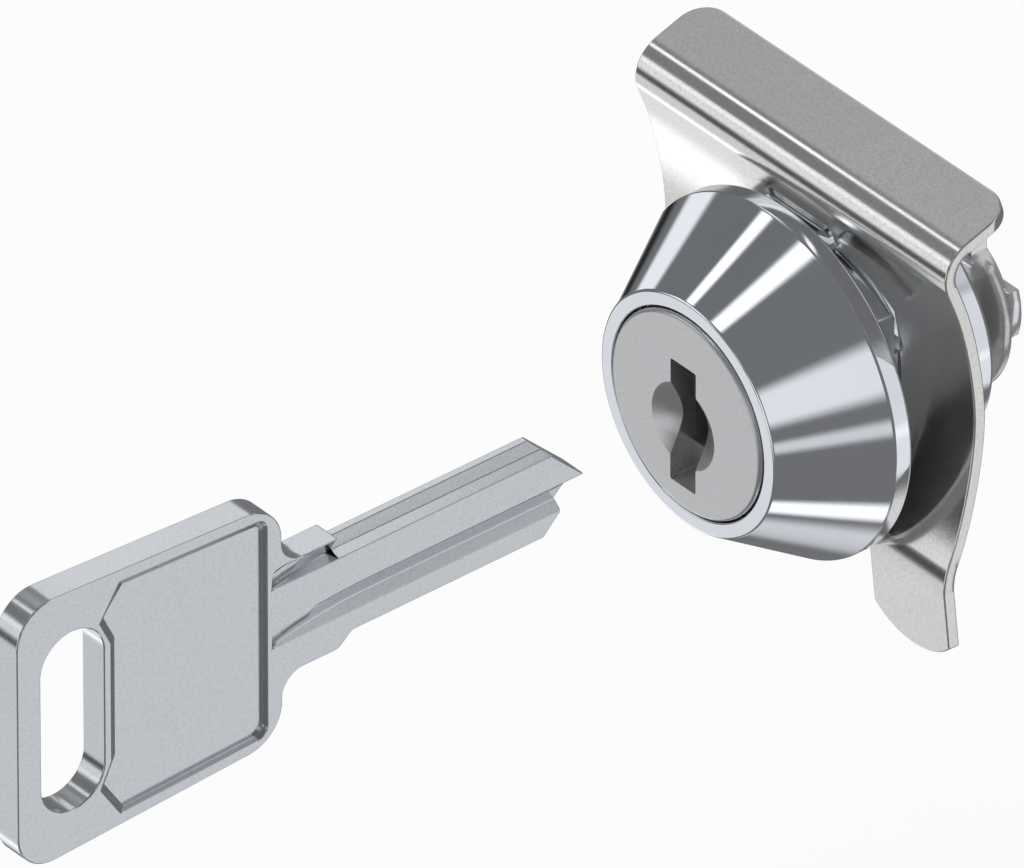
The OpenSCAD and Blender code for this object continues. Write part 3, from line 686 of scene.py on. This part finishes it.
slope = tan(radians(BOW_TAPER))
bow_h1 = BOW_H0 - (BOW_Y1 - BOW_Y0) * slope
key = prism([
    (BOW_Y0, -BOW_H0, BOW_CORNER), (BOW_Y0, BOW_H0, BOW_CORNER), (BOW_Y1, bow_h1, BOW_CORNER),
    (BOW_Y1, NECK_UP, NECK_FILLET), (NECK_Y, NECK_UP, 0.15), (NECK_Y, BLADE_UP, 0.1),
    (TIP_Y - BLADE_UP, BLADE_UP), (TIP_Y, TIP_Z), (TIP_Y - TIP_SLANT, GROOVE_TOP),
    (TIP_Y - TIP_FLAT, GROOVE_TOP), (TIP_Y - TIP_BACK, GROOVE_LOW),
    (TIP_Y - TIP_HEEL, -BLADE_DOWN), (NECK_Y + NECK_SLANT, -BLADE_DOWN, NECK_ROUND),
    (NECK_Y, -NECK_DOWN, NECK_ROUND), (BOW_Y1, -NECK_DOWN, NECK_FILLET),
    (BOW_Y1, -bow_h1, BOW_CORNER)], "X", KEY_X - KEY_HALF, KEY_X + KEY_HALF)
ring_slot = rectangle(RING_Y, 0, RING_HALF_W, RING_HALF_H, RING_HALF_W * NEARLY_ROUND)
key = cut(key, prism(ring_slot, "X", -PAST_KEY, PAST_KEY))
print("key blank is", round(TIP_Y - BOW_Y0, 2), "mm long")

# %% [markdown]
# ## Sunk panels
# Both sides of the bow are sunk, to save metal and to give the thumb a hold. The left and
# upper walls slope, which shows as a lighter band. A tapered extrusion would slope all
# walls alike, so the floor's vertices are moved instead. The cutter's outer side stands
# a hair proud of the key, so that no two faces coincide.

# %% Sunk panels
PANEL_DEPTH, WALL_SLOPE, PROUD = 0.5, 0.58, 1.001
PANEL_RIM, PANEL_IN_LEFT, PANEL_IN_RIGHT, PANEL_SHOULDER = 0.9, 7.5, 1.4, 9.3
SHOULDER_IN, SHOULDER_DROP, STEP_Z, WAIST_IN, WAIST_Z = 1.78, 0.09, 7.1, 1, 5
LEFT_BAND, TOP_BAND = 2.5, 1.2

panel_top = BOW_H0 - PANEL_RIM
panel_left, panel_right = BOW_Y0 + PANEL_IN_LEFT, BOW_Y1 - PANEL_IN_RIGHT
shoulder_z = panel_top - PANEL_SHOULDER * slope
corner_z = panel_top - (panel_right - BOW_Y0) * slope
half_panel = [(panel_right, corner_z, 0.9),
              (panel_left + SHOULDER_IN, shoulder_z - SHOULDER_DROP, 0.15),
              (panel_left, STEP_Z, 0.1), (panel_left + WAIST_IN, WAIST_Z, 0.1)]
panel = half_panel + [(y, -z, r) for y, z, r in half_panel[::-1]]
for side in (1, -1):
    x0, x1 = span(side, KEY_HALF - PANEL_DEPTH, KEY_HALF)
    pocket = prism(panel, "X", KEY_X + x0, KEY_X + x1)
    floor_x = KEY_X + min(x0, x1, key=abs)
    for vert in pocket.verts:
        if abs(vert.co.x - floor_x) > 0.01:
            vert.co.x = KEY_X + (vert.co.x - KEY_X) * PROUD
            continue
        if vert.co.y < panel_left + LEFT_BAND:
            vert.co.y += WALL_SLOPE
        if vert.co.z > corner_z - TOP_BAND:
            vert.co.z -= WALL_SLOPE
    key = cut(key, pocket)
print("panels leave", round(2 * (KEY_HALF - PANEL_DEPTH), 2), "mm of metal between them")

# %% [markdown]
# ## A milled groove
# A milling disc cuts each groove from the tip towards the bow, and its round edge leaves
# a curved run-out there. A straight prism would end in a square step. So the profile is
# swept in stations, and at each station it has sunk as far as the disc has at that place.

# %% A milled groove
GROOVE_START, GROOVE_END, RUN_OUT, RUN_OUT_STEPS = BOW_Y1 - 0.9, TIP_Y + 1, 9.0, 14


def groove(deep, at_bow):
    """A profile in X and Z that sinks in from the bow as a milling disc does."""
    before = [Vector((KEY_X + x, GROOVE_START, z)) for x, z in at_bow]
    bm = outline([(v.x, v.z) for v in before], "Y")
    bmesh.ops.translate(bm, vec=(0, GROOVE_START, 0), verts=bm.verts)
    ring = bm.edges[:]
    stations = [GROOVE_START + RUN_OUT * k / RUN_OUT_STEPS for k in range(1, RUN_OUT_STEPS + 1)]
    for y in stations + [GROOVE_END]:
        sunk = 1 - max(0, 1 - (y - GROOVE_START) / RUN_OUT) ** 2
        after = [Vector((KEY_X + x0 + (x - x0) * sunk, y, z0 + (z - z0) * sunk))
                 for (x, z), (x0, z0) in zip(deep, at_bow)]
        fresh = set(corners_of(bmesh.ops.extrude_edge_only(bm, edges=ring)))
        for vert in fresh:
            nearest = min(range(len(before)), key=lambda i: (vert.co - before[i]).length)
            vert.co = after[nearest]
        ring = [e for e in bm.edges if e.verts[0] in fresh and e.verts[1] in fresh]
        before = after
    bmesh.ops.contextual_create(bm, geom=ring)
    bmesh.ops.recalc_face_normals(bm, faces=bm.faces)
    return bm


# %% [markdown]
# ## The blade's grooves
# The photographed blade has a lower groove that guides it in the keyway, and an upper
# one that ends in a ledge along its back. Both are V shapes that open towards +X, so one
# function gives their profiles, and a third cutter takes the corner off above the ledge.

# %% The blade's grooves
FLANK_TOP, LOWER_LIP, UPPER_LIP, SHALLOW, PAST_BACK = 4.75, -0.75, 4.25, 0.2, 0.5
out = KEY_HALF + 1


def vee(top, apex_x, apex_z, low):
    """A V that is cut into the side of the blade, from beyond the side."""
    return [(out, top), (KEY_HALF, top), (apex_x, apex_z), (KEY_HALF, low), (out, low)]


lower = groove(vee(GROOVE_TOP, APEX_X, APEX_Z, GROOVE_LOW),
               vee(LOWER_LIP, KEY_HALF - SHALLOW, GROOVE_LOW + LEDGE_RISE, GROOVE_LOW))
upper = groove(vee(FLANK_TOP, 0, LEDGE_Z + LEDGE_RISE, LEDGE_Z),
               vee(UPPER_LIP, KEY_HALF - SHALLOW, LEDGE_Z + LEDGE_RISE, LEDGE_Z))
ledge = prism([(out, LEDGE_Z), (KEY_HALF, LEDGE_Z), (0, LEDGE_Z + LEDGE_RISE),
               (WEB - KEY_HALF, BLADE_UP), (WEB - KEY_HALF, BLADE_UP + PAST_BACK),
               (out, BLADE_UP + PAST_BACK)], "Y", NECK_Y, GROOVE_END)
bmesh.ops.translate(ledge, vec=(KEY_X, 0, 0), verts=ledge.verts)
for tool in (lower, upper, ledge):
    key = cut(key, tool)
soften(key, 0.12, over=24, segments=3)
finished(key, "flat_key", "key", "key_nickel", ["key"], crease=30)

# %% [markdown]
# ## Cam
# The cam is a stamped plate that latches behind the frame of the door. Its open slot fits
# the driver's square neck, so that it slides on from one side. It is a rounded outline
# with a box cut out.

# %% Cam
CAM_Y, CAM_T, CAM_HALF, CAM_REACH, CAM_BACK = 13.05, 1.0, 5.0, 25.0, 2.0
NECK_HALF, NECK_FIT = 3.6, 0.05
PAST_DRIVE, PAST_FRONT, PAST_REAR = 9, 9, 18

slot_half = NECK_HALF + NECK_FIT
cam = prism([(-CAM_REACH, CAM_HALF, 2.5), (-CAM_REACH, -CAM_HALF, 2.5), (CAM_BACK, -CAM_HALF, 0.3),
             (CAM_BACK, CAM_HALF, 0.3)], "Y", CAM_Y, CAM_Y + CAM_T)
cam = cut(cam, box(-slot_half, PAST_DRIVE, CAM_Y - CAM_T, CAM_Y + 2 * CAM_T, -slot_half, slot_half))
finished(soften(cam, 0.1), "stamped_cam", "plug", "stamped_steel", ["cam"])

# %% [markdown]
# ## Lock washer
# A washer with an open slot slides on from below and takes up the play beside the cam.
# The tips of its two horns are round. Their centres follow from the washer's radius and
# the slot's width, so the whole outline is three arcs and two corners.

# %% Lock washer
WASHER_Y, WASHER_END, WASHER_R, WASHER_TIP_R = 14.1, 14.9, 7.3, 1.1
TIP_STEPS, ROUND_STEPS = 20, 120

arm_x = slot_half + WASHER_TIP_R
arm_z = sqrt((WASHER_R - WASHER_TIP_R) ** 2 - arm_x ** 2)
lean = degrees(atan2(arm_z, arm_x))
washer = prism([(slot_half, -slot_half)]
               + arc(WASHER_TIP_R, 180, lean, (arm_x, arm_z), TIP_STEPS)
               + arc(WASHER_R, lean, -180 - lean, steps=ROUND_STEPS)[1:-1]
               + arc(WASHER_TIP_R, 180 - lean, 0, (-arm_x, arm_z), TIP_STEPS)
               + [(-slot_half, -slot_half)], "Y", WASHER_Y, WASHER_END)
finished(soften(washer, 0.08), "slotted_washer", "plug", "stamped_steel", ["lock_washer"],
         crease=25)

# %% [markdown]
# ## Driver
# The driver is a small die casting that turns with the plug's flattened tail. A flange
# lies against the barrel, a square neck carries the cam, and a disc with a lug ends in a
# tongue for a rod. Each form is a turned disc, or one cut square by a box. They sink a
# little into each other and are joined, as one die would cast them.

# %% Driver
DRIVER_Y, DRIVER_R, NECK_Y0, NECK_ROOT, NECK_R = 11.2, 5.6, 13.0, 0.5, 4.6
DISC_Y, DISC_END, DISC_R, DRIVER_END, SINK_IN = 14.95, 16.5, 5.2, 17.2, 0.3
LUG_HALF, LUG_LOW, LUG_HEIGHT, TONGUE_HALF, TONGUE_R, BOSS_R = 2.7, 2, 8.5, 1.95, 5.7, 3.8
DRIVE_STEPS = 128


def puck(radius, start, end):
    """A plain turned disc from start to end along the axis."""
    return turned([(0, start), (radius, start), (radius, end), (0, end)], DRIVE_STEPS)


neck = cut(puck(NECK_R, NECK_Y0 - NECK_ROOT, DISC_Y + SINK_IN),
           box(-NECK_HALF, NECK_HALF, PAST_FRONT, PAST_REAR, -NECK_HALF, NECK_HALF), "INTERSECT")
tongue = cut(puck(TONGUE_R, DISC_END - SINK_IN, DRIVER_END),
             box(-PAST_DRIVE, PAST_DRIVE, PAST_FRONT, PAST_REAR, -TONGUE_HALF, TONGUE_HALF),
             "INTERSECT")
driver = puck(DRIVER_R, DRIVER_Y, NECK_Y0)
for form in (neck, puck(DISC_R, DISC_Y, DISC_END),
             box(-LUG_HALF, LUG_HALF, DISC_Y, DISC_END, LUG_LOW, LUG_HEIGHT), tongue,
             puck(BOSS_R, DISC_END - SINK_IN, DRIVER_END)):
    driver = cut(driver, form, "UNION")
print("driver holds", round(driver.calc_volume()), "mm3 before its holes are cut")

# %% [markdown]
# ## The driver's holes
# A pocket with two flats takes the plug's tail from the front, and a hole with a
# countersink takes the screw from the rear. They are cut last, so that they run through
# every form that was joined before.

# %% The driver's holes
POCKET_R, POCKET_X, POCKET_END = 2.95, 2.45, 15.1
HOLE_R, HOLE_START, SINK_R, SINK_Y = 1.55, 14, 3.15, 15.6

pocket = cut(puck(POCKET_R, DRIVER_Y - 1, POCKET_END),
             box(-POCKET_X, POCKET_X, PAST_FRONT, PAST_REAR, -PAST_DRIVE, PAST_DRIVE),
             "INTERSECT")
recess = turned([(0, HOLE_START), (HOLE_R, HOLE_START), (HOLE_R, SINK_Y), (SINK_R, DRIVER_END),
                 (SINK_R, DRIVER_END + 1), (0, DRIVER_END + 1)], DRIVE_STEPS)
for hollow in (pocket, recess):
    driver = cut(driver, hollow)
finished(soften(driver, 0.1), "cam_driver", "plug", "light_zinc", ["driver"], crease=25)

# %% [markdown]
# ## Clamping screw
# A countersunk screw with a slot clamps the driver to the plug's tail. Its thread sits
# inside the tail where nothing shows it, so the shank stays a plain turned pin, and only
# the head gets its slot.

# %% Clamping screw
SCREW_HEAD_R, SCREW_END, BLADE_SLOT, BLADE_DEPTH = 3.08, 17.18, 0.4, 0.7
SCREW_STEPS = 96

screw = turned([(0, SCREW_TIP), (SCREW_R, SCREW_TIP, 0.4), (SCREW_R, SINK_Y),
                (SCREW_HEAD_R, SCREW_END, 0.05), (0, SCREW_END)], SCREW_STEPS)
screw = cut(screw, box(-PAST_DRIVE, PAST_DRIVE, SCREW_END - BLADE_DEPTH, PAST_REAR,
                       -BLADE_SLOT, BLADE_SLOT))
finished(soften(screw, 0.05), "clamping_screw", "plug", "stamped_steel", ["cam_screw"])

# %% [markdown]
# ## Soft boxes in the room
# Chrome shows the room it stands in. In a white room it would turn out flat white, so
# the metal sees a grey dome with soft boxes of light, as round a product table. Lamps
# with an area could stand there as well. Masks in the world need no place of their own,
# and never show in front of the lock. A mask is a rectangle on a plane that faces its
# direction, with soft borders.

# %% Soft boxes
world = bpy.data.worlds.new("studio")
bpy.context.scene.world = world
world.use_nodes = True
room = Finish(world.node_tree)
direction = room.add("TexCoord").out("Generated")
IN_FRONT = 0.02


def facing(vector):
    """How far each direction of the room points along a vector."""
    return room.add("VectorMath", {"operation": "DOT_PRODUCT"},
                    {0: direction, 1: vector}).number("Value")


def soft_box(azimuth, elevation, wide, tall, soft):
    """A mask that is 1 inside a rectangle of the room, given by its half angles."""
    a, e = radians(azimuth), radians(elevation)
    ahead = Vector((cos(a) * cos(e), sin(a) * cos(e), sin(e)))
    side = Vector((-sin(a), cos(a), 0))
    up = ahead.cross(side)
    depth = facing(ahead)
    mask = depth.smooth(0.0, IN_FRONT)
    for vector, half in ((side, wide), (up, tall)):
        slant = facing(vector) / depth
        size = tan(radians(half))
        mask = mask * slant.smooth(-size - soft, -size + soft)
        mask = mask * (1 - slant.smooth(size - soft, size + soft))
    return mask


# %% [markdown]
# ## Where the light stands
# Each box stands where a band or a patch in the photograph's metal mirrors it, and is
# about as bright as that patch. A negative one is a flag, a dark cloth that takes light
# away. The camera itself sees plain white.

# %% The room
DOME = 0.17
SOFT_BOXES = [  # azimuth, elevation, half width, half height, softness of the border, brightness
    (-20, -68, 9, 6, 0.06, 1.05),
    (-27, -15, 6, 4, 0.05, 0.5),
    (-33, 15, 8, 13, 0.08, 0.65),
    (-109, 63, 5, 14, 0.05, 1.4),
    (176, 3.5, 6, 9.5, 0.05, 0.75),
    (147, -31, 7, 5.5, 0.04, 0.95),
    (36, -31, 12, 13, 0.08, 0.65),
    (36, 4, 8, 24, 0.10, 0.6),
    (60, 45, 24, 14, 0.15, 0.45),
    (-142, -39, 22, 15, 0.06, 0.6),
    (-172, -50, 13, 8, 0.08, 0.75),
    (-129, 1, 14, 8, 0.06, 0.75),
    (-130, 16, 12, 6, 0.06, 1.0),
    (-157, 47.5, 3.2, 3.2, 0.03, 1.5),
    (97, -57, 15, 8, 0.10, 0.5),
    (170, -84, 10, 14, 0.12, 0.5),
    (165, 56, 11, 9, 0.12, 0.26),
    (144, 25, 5, 4, 0.06, 0.3),
    (148, -12, 6, 12, 0.08, 0.45),
    (-88, -12, 18, 14, 0.15, 0.75),
    (160, -19, 6, 5, 0.08, -0.15),
    (-132, -17, 12, 5, 0.05, -0.12)]
LOW_TINT, HIGH_TINT, WHITE = (0.97, 0.98, 1.0), (0.96, 0.98, 1.0), (1, 1, 1)

light = sum((soft_box(*place) * brightness for *place, brightness in SOFT_BOXES), DOME)
path = room.add("LightPath")
tint = room.mix(facing((0, 0, 1)).smooth(-1, 1), LOW_TINT, HIGH_TINT)
lit = room.add("Background", {}, {"Color": tint, "Strength": light}).out()
seen = room.add("Background", {}, {"Color": WHITE, "Strength": 1.0}).out()
shown = room.add("MixShader", {}, {0: path.out("Is Camera Ray"), 1: lit, 2: seen}).out()
room.add("OutputWorld", {}, {"Surface": shown})
print("the room has", len(SOFT_BOXES), "soft boxes and flags")

# %% [markdown]
# ## Floor
# The photograph has no floor, only white. A pale one lies below, wide enough to hold a
# soft shadow. To the camera most of its colour is a glow that matches the white behind
# it. Reflections leave it out, because the photographed metal shows none.

# %% Floor
FLOOR_Z, FLOOR_HALF, GLOW_SHARE, CLOUD_SCALE = -60.0, 1.0, 0.86, 9.0
LOW_GREY, HIGH_GREY = (0.80, 0.80, 0.80), (0.82, 0.82, 0.82)

ground = bmesh.new()
bmesh.ops.create_grid(ground, x_segments=1, y_segments=1, size=FLOOR_HALF)
bmesh.ops.translate(ground, vec=(0, 0, FLOOR_Z * MM), verts=ground.verts)
floor = as_object(ground, "floor")
floor.visible_glossy = False
pale = bpy.data.materials.new("pale_floor")
pale.use_nodes = True
paint = Finish(pale.node_tree)
cloud = paint.add("TexNoise", {}, {"Vector": paint.add("TexCoord").out("Object"),
                                   "Scale": CLOUD_SCALE}).number("Fac")
matt = paint.add("BsdfDiffuse", {}, {"Color": paint.mix(cloud, LOW_GREY, HIGH_GREY)}).out()
glow = paint.add("Emission", {}, {"Color": WHITE, "Strength": 1.0}).out()
share = paint.add("LightPath").number("Is Camera Ray") * GLOW_SHARE
paint.add("OutputMaterial", {},
          {"Surface": paint.add("MixShader", {}, {0: share, 1: matt, 2: glow}).out()})
floor.data.materials.append(pale)
print("floor lies", -FLOOR_Z, "mm below the axis")

# %% [markdown]
# ## Lamps
# Two lamps with an area add to the room. The smaller one stands close to the rear left
# of the lock, so that its mirror image narrows across the bright faces as it does in the
# photograph, which a light at infinity can't do. The larger one hangs overhead for the
# matt faces and the floor's shadow, and reflections leave it out.

# %% Lamps
BOX_WIDE, BOX_TALL, BOX_BRIGHTNESS = 0.075, 0.125, 0.7


def area_lamp(name, wide, tall, energy, place, aim):
    """A rectangular lamp in metres and watts that faces a point."""
    lamp = bpy.data.objects.new(name, bpy.data.lights.new(name, "AREA"))
    bpy.context.scene.collection.objects.link(lamp)
    lamp.data.shape, lamp.data.size, lamp.data.size_y = "RECTANGLE", wide, tall
    lamp.data.energy = energy
    lamp.location = place
    lamp.rotation_euler = (Vector(aim) - lamp.location).to_track_quat("-Z", "Y").to_euler()
    print(name, "gives", round(energy, 3), "W")
    return lamp


area_lamp("key_box", BOX_WIDE, BOX_TALL, BOX_BRIGHTNESS * pi * BOX_WIDE * BOX_TALL,
          (-0.178, 0.112, 0.195), (0, -0.045, 0.006))
overhead = area_lamp("overhead", 0.5, 0.5, 5.0, (-0.2, -0.1, 0.7), (0, 0, 0))
overhead.visible_glossy = False

# %% [markdown]
# ## View transform
# The picture's values come straight from the shaders, so the view transform is Standard.

# %% View transform
view = bpy.context.scene.view_settings
view.view_transform = "Standard"
